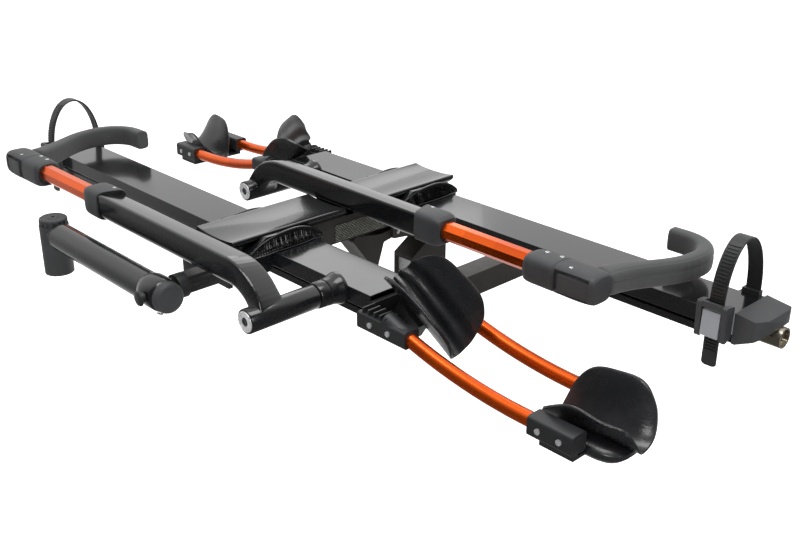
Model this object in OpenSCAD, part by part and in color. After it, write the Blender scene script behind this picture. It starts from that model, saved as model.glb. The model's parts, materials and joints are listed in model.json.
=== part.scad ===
// Two-bike platform rack for a 2 inch receiver hitch.
//
// Rack frame: the origin is the centre of the hitch pin hole, +X runs along the trays,
// +Y points to the vehicle and +Z is up.
// Tray frame: each tray unit is drawn once, with u (x) along the tray towards the front
// wheel cradle, v (y) towards the vehicle and w (z) up from the tray's top face.
// Unit 1 is the outboard tray. Unit 2 is the one next to the vehicle, and is unit 1 mirrored.

/* [Hitch mount] */
// Width of the square stinger
stinger_w = 50.8; // [42:0.1:61]
// Wall of the stinger
stinger_wall = 6.3; // [4:0.1:8]
// Stinger length from the pin hole to its vehicle end
stinger_nose = 65; // [50:5:90]
// Radius of the hitch pin hole
hitch_pin_r = 8.2; // [7.5:0.1:8.5]
// Distance from the pin hole back to the fold pivot
pivot_back = 280; // [270:5:340]
// Height of the fold pivot above the stinger axis
pivot_rise = 169; // [150:1:220]
// Radius of the neck's pivot boss
boss_r = 28; // [24:1:29]
// Radius of the fold bolt
fold_bolt_r = 9.5; // [7:0.5:12]
// Neck from the pivot to its outboard face
neck_front = 72; // [60:1:80]
// Neck from the pivot to its vehicle face
neck_rear = 22; // [18:1:26]

/* [Cam lock] */
// Radius of the cam knob
knob_r = 22; // [18:1:26]
// Length of the cam knob
knob_len = 24; // [18:1:30]
// Radius of the draw rod
rod_r = 4; // [3:0.5:4]
// Radius of the cam ball
ball_r = 7; // [5:0.5:9]

/* [Spine] */
// Width of the spine tube
spine_w = 76; // [70:1:90]
// Height of the spine tube
spine_h = 50; // [40:1:60]
// Wall of the spine tube
spine_wall = 4; // [3:0.5:5]
// Spine from the outboard tray's centre to its outboard end
spine_tail = 110; // [100:5:140]
// Spine from the inner tray's centre to its vehicle end
spine_head = 65; // [60:1:68]
// Tray top face down to the underside of the spine
spine_drop = 40; // [30:1:46]
// Width of the spine cover
cover_w = 104; // [90:1:112]
// Height of the cover's edges above the tube
cover_h = 18; // [12:1:24]
// Dish of the cover along its middle
cover_dish = 4; // [1:0.5:8]
// Thickness of each pivot cheek
cheek_t = 6.4; // [5:0.1:8]
// Length of the rating plate on the spine's side
label_len = 114; // [60:2:140]

/* [Trays] */
// Distance between the two trays
tray_pitch = 330; // [300:5:400]
// Fold pivot back to the inner tray's centre
tray_back = 55; // [50:1:60]
// Fold pivot up to the tray's top face
tray_above = 72; // [66:1:90]
// Width of a tray
tray_w = 88; // [72:1:106]
// Depth of the tray's box
tray_h = 26; // [20:1:34]
// Depth of the slot under the box
slot_h = 8; // [5:1:12]
// Depth of the lower rail
rail_h = 12; // [8:1:16]
// Wall of the tray extrusion
tray_wall = 3; // [2:0.5:4]
// Tray length from the spine's centre to the strap end
tray_strap_len = 705; // [580:5:850]
// Tray length from the spine's centre to the cradle end
tray_cradle_len = 302; // [280:2:340]
// Length of the strap end's cap
end_cap_len = 47; // [36:1:60]
// Reach of the arched hub wings to each side
wing_reach = 24; // [16:1:32]
// Radius of the cable lock's body
lock_r = 16; // [12:1:18]

/* [Arms] */
// Arm pivot from the spine's centre
arm_u = 229; // [200:1:260]
// Arm pivot below the tray's top face
arm_drop = 10; // [4:1:16]
// Arm plane outboard of the tray's centre
arm_v = 175; // [150:1:200]
// Height of the arm above the tray's top face
arm_w = 40; // [34:1:60]
// Width of the arm tube
arm_tube_w = 44; // [38:1:50]
// Height of the arm tube
arm_tube_h = 46; // [44:1:50]
// Radius of the arm's bend
bend_r = 79; // [60:1:100]
// Arm length from the spine's centre to its open end
arm_len = 255; // [220:5:300]
// Radius of the arm's pivot barrel
barrel_r = 19; // [17:0.5:24]
// Radius of the spindle inside it
spindle_r = 14; // [10:0.5:15]
// Fixed part of the barrel, out from the tray's side
spindle_base = 48; // [30:1:60]
// Running clearance of every pivot, on the radius
run_gap = 0.05; // [0.02:0.01:0.1]

/* [Hooks] */
// Width across the flats of the sliding hook tube
hook_af = 30; // [24:1:32]
// Sliding clearance of the hook tube, on each side
slide_gap = 0.3; // [0.3:0.1:0.6]
// Spine's centre to the hook housing's mouth
housing_u = 440; // [410:2:480]
// Length of the hook housing
housing_len = 130; // [110:2:160]
// Height of the hook
hook_h = 38; // [30:1:44]
// Width of the hook's finger
hook_t = 27; // [20:1:32]
// Radius of the hook's curl
curl_r = 59; // [45:1:64]

/* [Cradles] */
// Radius of the cradle tubes
tube_r = 11; // [8:0.5:13.5]
// Radius of the cradle tubes' sweep
sweep_r = 800; // [600:10:1200]
// Lowest point of the sweep below the tray's top face
sweep_drop = 60; // [50:1:80]
// Half the distance between the cradle tubes
tube_v = 58; // [56:1:70]
// Length of the inner wheel cup along its valley
cup_len = 150; // [120:2:170]
// Height of the inner cup's tall flank
cup_tall = 92; // [70:1:110]
// Length of the outer wheel cup along its valley
outer_cup_len = 132; // [110:2:160]
// Height of the outer cup's tall flank
outer_cup_tall = 76; // [50:1:100]
// Height of a cup's low flank
cup_low = 48; // [30:1:60]
// Share of a cup flank's width lost at its narrow end
cup_twist = 0.5; // [0:0.05:0.6]
// Wall of a wheel cup
cup_wall = 5; // [4:0.5:8]

/* [Straps] */
// The strap's middle from the tray's end
strap_back = 25; // [15:1:65]
// Width of the strap
strap_w = 24; // [18:1:30]
// Thickness of the strap
strap_t = 3; // [2:0.5:4]
// Height of the strap's arch above the tray's top face
strap_h = 105; // [80:1:130]
// Length of the strap's tail below the tray's top face
strap_tail = 84; // [60:1:110]

/* [Work stand] */
// Mast plane outboard of the outboard tray's centre
mast_v = 245; // [240:1:270]
// Mast axis below the tray's top face
mast_drop = 17; // [10:1:30]
// Mast pivot from the spine's centre plane
mast_x = 45; // [30:1:60]
// Radius of the mast tube
mast_r = 24; // [18:1:25]
// Mast length from the pivot to the clamp barrel's axis
mast_len = 336; // [280:2:400]
// Radius of the mast's pivot pin
mast_pin_r = 8; // [6:0.5:10]

/* [Hidden] */
$fn = 48;
skin = 0.4;                                   // gap between pieces that move past each other
seat = 0.1;                                   // gap where a fixed piece seats in another
pivot_y = -pivot_back;
pivot_z = pivot_rise;
tray_z = pivot_z + tray_above;
inner_y = pivot_y - tray_back;
outer_y = inner_y - tray_pitch;
spine_y0 = outer_y - spine_tail;
spine_y1 = inner_y + spine_head;
spine_z0 = tray_z - spine_drop;
spine_z1 = spine_z0 + spine_h;
stinger_y0 = pivot_y - neck_front;
inner_w = stinger_w - 2 * stinger_wall;
rod_gap = 0.3;                                // round the draw rod, in the stinger's end wall
rod_drop = inner_w / 2 - rod_r - 1;
tray_depth = tray_h + slot_h + rail_h;
strap_u = tray_strap_len - strap_back;
tray_side = tray_w / 2;
rail_side = tray_side - 8;
wing_u = spine_w / 2 + wing_reach;
barrel_v0 = arm_v + 42;                       // outer end of the arm's pivot barrel
barrel_v1 = tray_side + spindle_base + skin;  // its inner end
bend_u = arm_u - bend_r * cos(22);
bend_w = arm_w - bend_r;
housing_w = 50;
housing_h = 46;
hook_root_v = -arm_v + housing_w / 2;
hook_u = housing_u + housing_len - 21;         // centre of the hook's curl
strap_side = tray_side + 11;                  // strap legs from the tray's centre
lever_pin_w = 6;
clip_len = 100;
outer_clip_len = 72;
sweep_u = 618;                                // lowest point of the cradle tubes' sweep
inner_clip_u = tray_cradle_len + 2;
outer_clip_u = inner_clip_u + 324;
clip_side = tube_r + 4;
inner_cup_tilt = 33;
outer_cup_tilt = -2;
pedal_y = pivot_y - 115;
pedal_z = spine_z0 - 20;
pedal_pin_r = 4;
lock_pin_r = 4.5;
lock_travel = 12;
cheek_x = stinger_w / 2 + skin;
mast_y = outer_y - mast_v;
mast_z = tray_z - mast_drop;
knuckle_r = mast_r + 3;
knuckle_len = 46;
head_r = 25;
head_x = mast_x - mast_len;

// ---- helpers ----

// Extrudes a (y, z) outline from x0 to x1.
module along_x(x0, x1) {
    translate([x0, 0, 0]) rotate([90, 0, 90]) linear_extrude(x1 - x0) children();
}

// Extrudes an (x, z) outline from y0 to y1.
module along_y(y0, y1) {
    translate([0, y1, 0]) rotate([90, 0, 0]) linear_extrude(y1 - y0) children();
}

// Extrudes an (x, y) outline from z0 to z1.
module along_z(z0, z1) {
    translate([0, 0, z0]) linear_extrude(z1 - z0) children();
}

// A block between two corners.
module block(low, high) {
    translate(low) cube(high - low);
}

// A round bar between two points on a line along x, y or z.
module bar_x(x0, x1, y, z, r) {
    along_x(x0, x1) translate([y, z]) circle(r);
}
module bar_y(y0, y1, x, z, r) {
    along_y(y0, y1) translate([x, z]) circle(r);
}
module bar_z(z0, z1, x, y, r) {
    along_z(z0, z1) translate([x, y]) circle(r);
}

// Puts a piece drawn in the tray frame on tray unit 1 or 2.
module unit(n) {
    if (n == 1)
        translate([0, outer_y, tray_z]) children();
    else
        translate([0, inner_y, tray_z]) mirror([1, 0, 0]) children();
}

// The arc that rounds corner q between points p and s.
function corner(p, q, s, r, n) =
    let (
        a = (p - q) / norm(p - q),
        b = (s - q) / norm(s - q),
        half = acos(a * b) / 2,
        middle = q + (a + b) / norm(a + b) * r / sin(half),
        from = q + a * r / tan(half) - middle,
        to = q + b * r / tan(half) - middle
    )
    [for (i = [0 : n]) let (d = from + (to - from) * i / n) middle + d / norm(d) * r];

// A polygon with every corner rounded.
function rounded(points, r, n = 4) =
    let (m = len(points))
    [for (i = [0 : m - 1])
        each corner(points[(i + m - 1) % m], points[i], points[(i + 1) % m], r, n)];

// ---- hitch mount ----

module stinger() {
    color("#2b2a2a")
    difference() {
        block([-stinger_w / 2, stinger_y0, -stinger_w / 2], [stinger_w / 2, stinger_nose, stinger_w / 2]);
        block([-inner_w / 2, stinger_y0 + 6, -inner_w / 2], [inner_w / 2, stinger_nose + 1, inner_w / 2]);
        bar_x(-stinger_w, stinger_w, 0, 0, hitch_pin_r);
        bar_y(stinger_y0 - 1, stinger_y0 + 7, 0, -rod_drop, rod_r + rod_gap);
        bar_z(-stinger_w, -inner_w / 2 + 1, 0, stinger_nose - 22, ball_r + skin);
    }
}

module neck() {
    color("#2f2e2e")
    difference() {
        union() {
            along_x(-stinger_w / 2, stinger_w / 2) polygon([
                [pivot_y - neck_front, stinger_w / 2], [pivot_y + neck_rear, stinger_w / 2],
                [pivot_y + neck_rear, pivot_z], [pivot_y - boss_r * 0.6, pivot_z - boss_r * 0.8],
                [pivot_y - neck_front, pivot_z - boss_r * 2]
            ]);
            bar_x(-stinger_w / 2, stinger_w / 2, pivot_y, pivot_z, boss_r);
        }
        bar_x(-stinger_w, stinger_w, pivot_y, pivot_z, fold_bolt_r + run_gap);
        block([-stinger_w / 2 + 5, pivot_y - neck_front - 1, stinger_w / 2 + 12],
              [stinger_w / 2 - 5, pivot_y + neck_rear - 8, pivot_z - boss_r * 2 - 8]);
    }
}

module draw_rod() {
    color("silver") bar_y(stinger_y0 - 18, stinger_nose - 32, 0, -rod_drop, rod_r);
}

module cam_knob() {
    color("#1c1c1d")
    difference() {
        bar_y(stinger_y0 - knob_len - skin, stinger_y0 - skin, 0, -rod_drop, knob_r);
        bar_y(stinger_y0 - 18, stinger_y0, 0, -rod_drop, rod_r);
        for (a = [0 : 30 : 330])
            bar_y(stinger_y0 - knob_len - 1, stinger_y0, (knob_r + 2) * cos(a), (knob_r + 2) * sin(a) - rod_drop, 3.5);
    }
}

module cam_ball() {
    color("silver")
    translate([0, stinger_nose - 22, 0])
    intersection() {
        bar_z(-stinger_w / 2, -inner_w / 2 + 3, 0, 0, ball_r);
        translate([0, 0, -stinger_w / 2 + ball_r * 1.2]) sphere(ball_r * 1.2);
    }
}

// ---- spine ----

module spine_tube() {
    color("#3a3937")
    difference() {
        block([-spine_w / 2, spine_y0, spine_z0], [spine_w / 2, spine_y1, spine_z1]);
        block([-spine_w / 2 + spine_wall, spine_y0 - 1, spine_z0 + spine_wall],
              [spine_w / 2 - spine_wall, spine_y1 + 1, spine_z1 - spine_wall]);
    }
}

// The cover's top is an arc through its two raised edges.
module spine_cover() {
    half = cover_w / 2;
    dish_r = (half * half + cover_dish * cover_dish) / (2 * cover_dish);
    top = spine_z1 + cover_h;
    color("#5a5c5d")
    difference() {
        along_y(spine_y0, spine_y1) polygon([
            [-spine_w / 2, spine_z1], [spine_w / 2, spine_z1], [half, top - 6], [half, top],
            [-half, top], [-half, top - 6]
        ]);
        translate([0, 0, top - cover_dish + dish_r])
            rotate([90, 0, 0]) cylinder(h = 4 * tray_pitch, r = dish_r, center = true, $fn = 400);
        block([-half - 1, inner_y - arm_v - arm_tube_w / 2 - 5, tray_z + arm_w - arm_tube_h / 2 - 2],
              [half + 1, inner_y - arm_v + arm_tube_w / 2 + 5, top + 1]);
    }
}

module label_plate() {
    color("#55554f")
    block([spine_w / 2, inner_y - 218, spine_z0 + 4],
          [spine_w / 2 + 1.2, inner_y - 218 + label_len, spine_z0 + spine_h - 15]);
}

module pivot_cheeks() {
    color("#242424") {
        for (side = [-1, 1])
            mirror([side < 0 ? 1 : 0, 0, 0])
            difference() {
                along_x(cheek_x, cheek_x + cheek_t) polygon(rounded([
                    [pedal_y - 14, spine_z0], [spine_y1 - 2, spine_z0], [pivot_y + 22, pivot_z - 14],
                    [pivot_y - 6, pivot_z - 24], [pedal_y + 20, pedal_z - 14], [pedal_y - 14, pedal_z - 10]
                ], 4));
                bar_x(0, spine_w, pivot_y, pivot_z, fold_bolt_r);
                bar_x(0, spine_w, pedal_y, pedal_z, pedal_pin_r);
            }
        difference() {
            block([-13, pedal_y + 32, pivot_z - 12], [13, pedal_y + 50, spine_z0]);
            bar_y(pedal_y, pivot_y, 0, pivot_z, lock_pin_r + run_gap);
        }
    }
}

module pivot_pins() {
    color("#9a9b9c") {
        bar_x(-cheek_x - cheek_t, cheek_x + cheek_t, pivot_y, pivot_z, fold_bolt_r);
        for (side = [-1, 1])
            mirror([side < 0 ? 1 : 0, 0, 0])
                bar_x(cheek_x + cheek_t, cheek_x + cheek_t + 7, pivot_y, pivot_z, fold_bolt_r * 1.6, $fn = 6);
        bar_x(-cheek_x - cheek_t, cheek_x + cheek_t, pedal_y, pedal_z, pedal_pin_r);
    }
}

// The pedal is a fork on its pin, with a tread plate that slopes down under the spine.
module foot_pedal() {
    half = cheek_x - skin;
    color("#6b6d6e")
    difference() {
        along_x(-half, half) polygon(rounded([
            [pedal_y + 8, pedal_z + 8], [pedal_y + 8, pedal_z - 8], [pedal_y - 30, pedal_z - 14],
            [pedal_y - 46, pedal_z - 62], [pedal_y - 56, pedal_z - 60],
            [pedal_y - 106, pedal_z + 6], [pedal_y - 100, pedal_z + 14], [pedal_y - 40, pedal_z + 4]
        ], 2.5));
        bar_x(-half - 1, half + 1, pedal_y, pedal_z, pedal_pin_r + run_gap);
        block([-10, pedal_y - 24, pedal_z - 40], [10, pedal_y + 20, pedal_z + 20]);
    }
}

module pedal_spring() {
    color("silver")
    difference() {
        bar_x(-8, 8, pedal_y, pedal_z, 7);
        bar_x(-9, 9, pedal_y, pedal_z, 5.5);
    }
}

module lock_pin() {
    color("silver") {
        bar_y(pedal_y + 6, pivot_y - boss_r - 0.6, 0, pivot_z, lock_pin_r);
    }
}

// ---- work stand ----

module mast_bracket() {
    color("#1d1d1e")
    difference() {
        union() {
            block([-spine_w / 2 - 4, spine_y0 - 8, spine_z0 - 12], [spine_w / 2 + 6, spine_y0, spine_z1 - 8]);
            block([mast_x - 20, mast_y + knuckle_r + 12, mast_z - 16],
                  [mast_x + 5, spine_y0 - 8, mast_z + 12]);
            block([-spine_w / 2 + 8, spine_y0 - 44, spine_z0 - 6], [mast_x - 20, spine_y0 - 8, mast_z + 12]);
            bar_y(mast_y + knuckle_r + skin, mast_y + knuckle_r + 18, mast_x, mast_z, 20);
        }
        bar_y(mast_y, mast_y + knuckle_r + 60, mast_x, mast_z, mast_pin_r);
    }
    color("#b9b6bd")
    block([-spine_w / 2 + 4, spine_y0 - 46, mast_z + 12], [-spine_w / 2 + 36, spine_y0 - 8, mast_z + 16]);
}

module mast_screws() {
    color("silver") {
        for (x = [mast_x - 38, mast_x - 64])
            bar_y(spine_y0 - 47, spine_y0 - 44, x, mast_z - 8, 4);
        bar_y(mast_y - knuckle_r - 6, mast_y + knuckle_r + 60, mast_x, mast_z, mast_pin_r);
        bar_y(mast_y - knuckle_r - 10, mast_y - knuckle_r - 6, mast_x, mast_z, mast_pin_r + 4);
    }
}

module mast_knuckle() {
    color("#2c2c2d")
    difference() {
        union() {
            bar_x(mast_x - knuckle_len / 2, mast_x + knuckle_len / 2, mast_y, mast_z, knuckle_r);
            bar_x(mast_x + knuckle_len / 2, mast_x + knuckle_len / 2 + 12, mast_y, mast_z, mast_r - 1);
        }
        bar_y(mast_y - 2 * knuckle_r, mast_y + 2 * knuckle_r, mast_x, mast_z, mast_pin_r + run_gap);
    }
}

module mast_tube() {
    color("#1f2022")
    difference() {
        bar_x(head_x + head_r + 3, mast_x - knuckle_len / 2, mast_y, mast_z, mast_r);
        bar_x(head_x, mast_x, mast_y, mast_z, mast_r - 2.5);
    }
}

module mast_head() {
    color("#404144")
    difference() {
        union() {
            bar_z(mast_z - 72, mast_z + 17, head_x, mast_y, head_r);
            bar_x(head_x, head_x + head_r + 3, mast_y, mast_z, mast_r - 2);
        }
        bar_z(mast_z + 17, mast_z + 40, head_x, mast_y, head_r);
        bar_z(mast_z - 73, mast_z - 36, head_x, mast_y, head_r - 7);
        bar_z(mast_z - 36, mast_z + 18, head_x, mast_y, 6 + run_gap);
    }
}

module clamp_knob() {
    color("#37383a") {
        bar_z(mast_z + 17 + skin, mast_z + 30, head_x, mast_y, head_r - 1);
        bar_z(mast_z - 20, mast_z + 17 + skin, head_x, mast_y, 6);
    }
}

// ---- tray ----

// The tray's outline: a box above a slot and a lower rail.
module tray_outline(grow = 0) {
    s = tray_side + grow;
    polygon([
        [-s, grow], [s, grow], [s, -tray_h - grow], [rail_side - 6, -tray_h - grow],
        [rail_side - 6, -tray_h - slot_h], [rail_side, -tray_h - slot_h], [rail_side, -tray_depth],
        [-rail_side, -tray_depth], [-rail_side, -tray_h - slot_h], [-rail_side + 6, -tray_h - slot_h],
        [-rail_side + 6, -tray_h - grow], [-s, -tray_h - grow]
    ]);
}

module tray_panels() {
    t = tray_wall;
    color("#6a6c6d")
    for (span = [[-tray_strap_len, -spine_w / 2], [spine_w / 2, tray_cradle_len]])
        along_x(span[0], span[1])
        difference() {
            tray_outline();
            translate([-tray_side + t, -tray_h + t]) square([tray_w - 2 * t, tray_h - 2 * t]);
            translate([-rail_side + 6 + t, -tray_depth + t])
                square([2 * (rail_side - 6 - t), rail_h + slot_h - 2 * t]);
        }
}

// An arched wing on each side of the spine carries the tray through it.
module hub_wings() {
    low = -tray_h - 10;
    color("#2f3031")
    for (side = [-1, 1])
        mirror([side < 0 ? 1 : 0, 0, 0])
        difference() {
            along_x(spine_w / 2 + skin, wing_u)
                polygon(rounded([[-88, low], [-92, 2], [-52, 25], [18, 24], [62, -3], [60, low]], 6, 6));
            along_x(spine_w / 2 - 1, wing_u + 1) tray_outline(seat);
            along_x(spine_w / 2 - 1, cover_w / 2 + seat) translate([-tray_w - 20, spine_z1 - tray_z - seat])
                square([2 * tray_w + 40, 40]);
            along_x(spine_w / 2 - 1, wing_u + 1) translate([-rail_side - 9, -tray_depth - 1])
                square([2 * rail_side + 18, tray_depth - tray_h + 1]);
        }
}

module tray_end_cap() {
    u0 = -tray_strap_len;
    u1 = u0 - end_cap_len;
    color("#3b3d3e")
    difference() {
        intersection() {
            along_y(-tray_side - 1, tray_side + 1) polygon(rounded([
                [u0, 7], [u1 + 4, 1], [u1 - 1, -16], [u1 + 10, -27], [u0 - 6, -42], [u0, -42]
            ], 2));
            along_z(-60, 20) polygon(rounded([
                [u0 + 1, -tray_side - 1], [u0 + 1, tray_side + 1], [u1 + 6, tray_side + 1],
                [u1, 14], [u1, -14], [u1 + 14, -tray_side - 1]
            ], 3));
        }
        bar_x(u1 - 5, u0 - 8, 8, -32, lock_r + seat);
    }
}

module cable_lock() {
    u0 = -tray_strap_len - 8 - seat;
    color("#9a9384")
    difference() {
        bar_x(u0 - 46, u0, 8, -32, lock_r);
        bar_x(u0 - 47, u0 - 42, 8, -32, lock_r - 3);
        block([u0 - 44, 7, -38], [u0 - 38, 9, -26]);
    }
}

// ---- strap ----

// The strap is half an ellipse over the tray, a straight leg through the buckle and a tail.
module strap() {
    n = 18;
    outer = [for (i = [0 : n]) let (a = 180 * i / n) [strap_side * cos(a), (strap_h - 8) * sin(a) + 8]];
    inner = [for (i = [n : -1 : 0])
        let (a = 180 * i / n) [(strap_side - strap_t) * cos(a), (strap_h - 8 - strap_t) * sin(a) + 8]];
    color("#2a2b2b") {
        along_x(-strap_u - strap_w / 2, -strap_u + strap_w / 2) {
            polygon(concat(outer, inner));
            translate([-strap_side, -strap_tail]) square([strap_t, strap_tail + 8.01]);
            translate([tray_side + seat, -14]) square([strap_side - tray_side - seat, 22.01]);
        }
        block([-strap_u - strap_w / 2 - 8, tray_side + seat, -20], [-strap_u + strap_w / 2 + 8, strap_side + 1, 6]);
    }
}

module buckle_base() {
    side = strap_w / 2 + 4;
    back = strap_side - strap_t - skin;
    front = strap_side + 11;
    color("#3a3b3c")
    difference() {
        union() {
            for (s = [-1, 1])
                along_x(-strap_u + s * (side + 4) - 4, -strap_u + s * (side + 4) + 4)
                    polygon(rounded([[-front, 19], [-tray_side - seat, 16], [-tray_side - seat, -34],
                        [-front + 2, -40]], 4));
            block([-strap_u - side, -back, -36], [-strap_u + side, -tray_side - seat, 12]);
            block([-strap_u - side, -front, 10], [-strap_u + side, -front + 5, 19]);
        }
        bar_x(-strap_u - 40, -strap_u + 40, -strap_side - 5, lever_pin_w - 4, 2.5);
    }
    color("silver")
    bar_x(-strap_u - side - 8, -strap_u + side + 8, -strap_side - 5, lever_pin_w - 4, 2.5);
}

module buckle_lever() {
    half = strap_w / 2 + 2;
    v = -strap_side - 5;
    w = lever_pin_w - 4;
    color("#8d9094")
    difference() {
        along_x(-strap_u - half, -strap_u + half) polygon(rounded([
            [v - 4, w + 4.5], [v + 3.3, w + 4.5], [v + 3.3, w - 6], [v - 1, w - 12], [v - 1, w - 36], [v - 6, w - 36]
        ], 1.5));
        bar_x(-strap_u - 30, -strap_u + 30, v, w, 2.5 + run_gap);
    }
}

// ---- arm ----

// The arm's outline about its axis: its top slopes down towards the tray.
module arm_outline(inset = 0) {
    a = arm_tube_w / 2 - inset;
    b = arm_tube_h / 2 - inset;
    polygon(rounded([[-a, b], [a, b - 8], [a, -b + 4], [a - 8, -b], [-a + 8, -b], [-a, -b + 8]], 5));
}

module octagon(across) {
    rotate(22.5) circle(across / 2 / cos(22.5), $fn = 8);
}

module arm_spindle() {
    color("#2a2b2d") {
        bar_y(-tray_side - spindle_base, -tray_side - seat, arm_u, -arm_drop, barrel_r);
        along_y(-tray_side - spindle_base + 14, -tray_side - seat) translate([arm_u, -arm_drop])
            polygon(rounded([[-barrel_r, -8], [-barrel_r - 3, 12], [-8, barrel_r + 4], [12, barrel_r + 4],
                [barrel_r + 3, 6], [barrel_r, -10]], 4));
        bar_y(-barrel_v0 + 4, -tray_side - spindle_base, arm_u, -arm_drop, spindle_r);
    }
}

module arm_end_disc() {
    color("#d5d5d8")
    difference() {
        union() {
            bar_y(-barrel_v0 + 0.5, -barrel_v0 + 4, arm_u, -arm_drop, spindle_r - 0.5);
            bar_y(-barrel_v0 - 1.5, -barrel_v0 - skin, arm_u, -arm_drop, barrel_r - 3);
            bar_y(-barrel_v0 - skin, -barrel_v0 + 0.5, arm_u, -arm_drop, spindle_r - 3);
        }
        bar_y(-barrel_v0 - 2, -barrel_v0 + 1, arm_u, -arm_drop, 3.5, $fn = 6);
    }
}

module arm_tube() {
    color("#303236")
    difference() {
        union() {
            along_x(-arm_len, bend_u + 2) translate([-arm_v, arm_w]) arm_outline();
            translate([bend_u, -arm_v, bend_w]) rotate([90, 0, 0]) rotate([0, 0, 24])
                rotate_extrude(angle = 66) translate([bend_r, 0]) rotate(-90) arm_outline(skin);
            bar_y(-barrel_v0, -barrel_v1, arm_u, -arm_drop, barrel_r);
        }
        bar_y(-barrel_v0 - 1, -barrel_v1 + 1, arm_u, -arm_drop, spindle_r + run_gap);
        along_x(-arm_len - 1, 30) translate([-arm_v, arm_w]) octagon(hook_af + 2 * slide_gap);
    }
}

module arm_collar() {
    a = arm_tube_w / 2 + 3;
    b = arm_tube_h / 2 + 3;
    color("#3c3e40")
    translate([0, -arm_v, arm_w])
    difference() {
        union() {
            along_x(-arm_len + 0.2, -arm_len + 48)
                polygon(rounded([[-a, b], [a, b - 6], [a, -b], [-a, -b]], 8));
            along_x(-arm_len - 12, -arm_len + 0.2)
                polygon(rounded([[-a + 2, b - 2], [a - 2, b - 6], [a - 2, -b + 2], [-a + 2, -b + 2]], 9));
        }
        along_x(-arm_len, -arm_len + 50) square([2 * a - 6 + 2 * seat, 2 * b - 6 + 2 * seat], center = true);
        along_x(-arm_len - 13, -arm_len + 1) octagon(hook_af + 2 * slide_gap);
    }
}

// ---- hook ----

module hook_tube() {
    color("#e04a10")
    translate([0, -arm_v, arm_w])
    along_x(-housing_u - 60, -arm_len + 135)
    difference() {
        octagon(hook_af);
        octagon(hook_af - 6);
    }
}

module hook_housing() {
    u0 = -housing_u;
    u1 = u0 - housing_len;
    v0 = -arm_v - housing_w / 2;
    w0 = arm_w - 3 - housing_h / 2;
    color("#454749")
    difference() {
        along_x(u1, u0) translate([-arm_v, arm_w - 3]) polygon(rounded([
            [-housing_w / 2, housing_h / 2 - 6], [-housing_w / 2 + 8, housing_h / 2],
            [housing_w / 2, housing_h / 2], [housing_w / 2, -housing_h / 2],
            [-housing_w / 2 + 6, -housing_h / 2], [-housing_w / 2, -housing_h / 2 + 10]
        ], 3));
        along_x(u0 - 60 - seat, u0 + 1) translate([-arm_v, arm_w]) octagon(hook_af + 2 * seat);
        block([u1 + 4, v0 - 1, w0 + 8], [u1 + 66, v0 + 16, w0 + 36]);
    }
    color("silver") bar_z(w0 + 8, w0 + 36, u1 + 10, v0 + 6, 2.5);
}

// The trigger is a finger plate in the housing's outer side that turns on an upright pin.
module hook_trigger() {
    u1 = -housing_u - housing_len;
    v0 = -arm_v - housing_w / 2;
    w0 = arm_w - 3 - housing_h / 2;
    color("#5b5d5f")
    difference() {
        along_z(w0 + 8 + skin, w0 + 36 - skin) polygon(rounded([
            [u1 + 5.5, v0 + 2], [u1 + 5.5, v0 + 10], [u1 + 16, v0 + 10], [u1 + 62, v0 + 5], [u1 + 62, v0 - 1],
            [u1 + 30, v0 + 1]
        ], 1));
        bar_z(w0, w0 + 50, u1 + 10, v0 + 6, 2.5 + run_gap);
    }
}

// The hook's centre line: an easy curve out of the housing, then a round curl and a short tip.
function hook_line() =
    let (
        end = [-hook_u - curl_r, 13],
        start = [-hook_u + 1, hook_root_v],
        pull = 0.42 * (end[1] - start[1])
    )
    concat(
        [for (i = [0 : 9]) let (
            t = i / 10, a = start, b = start + [-14, pull], c = end + [0, -pull]
        ) pow(1 - t, 3) * a + 3 * pow(1 - t, 2) * t * b + 3 * (1 - t) * t * t * c + pow(t, 3) * end],
        [for (i = [0 : 10]) let (a = 180 - 9 * i) [-hook_u + curl_r * cos(a), 13 + curl_r * sin(a)]],
        [[-hook_u + 27, 13 + curl_r]]
    );

// Width of the hook: broad where it leaves the housing, and even along its finger.
function hook_half(i) = hook_t / 2 + 9 * pow(max(0, 1 - i / 7), 2);

module hook() {
    line = hook_line();
    m = len(line) - 1;
    normal = [for (i = [0 : m]) let (d = line[min(i + 1, m)] - line[max(i - 1, 0)]) [-d[1], d[0]] / norm(d)];
    low = arm_w - 4 - hook_h / 2;
    color("#4a4b4b")
    intersection() {
        along_z(low, low + hook_h) polygon(concat(
            [for (i = [0 : m]) line[i] + normal[i] * hook_half(i)],
            [for (i = [m : -1 : 0]) line[i] - normal[i] * hook_half(i)]
        ));
        block([-hook_u - 200, hook_root_v, low - 1], [-hook_u + 27, 200, low + hook_h + 1]);
    }
}

// ---- cradle ----

// A length of the cradle tubes' swept line.
module sweep(r, u0, u1, v) {
    a0 = -90 + asin((u0 - sweep_u) / sweep_r);
    a1 = -90 + asin((u1 - sweep_u) / sweep_r);
    translate([sweep_u, v, sweep_r - sweep_drop]) rotate([90, 0, 0]) rotate([0, 0, a0])
        rotate_extrude(angle = a1 - a0, $fn = 96) translate([sweep_r, 0]) circle(r);
}

module cradle_tubes() {
    color("#f05010")
    for (v = [-tube_v, tube_v])
        difference() {
            sweep(tube_r, inner_clip_u + 56, outer_clip_u + 48, v);
        }
}

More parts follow.
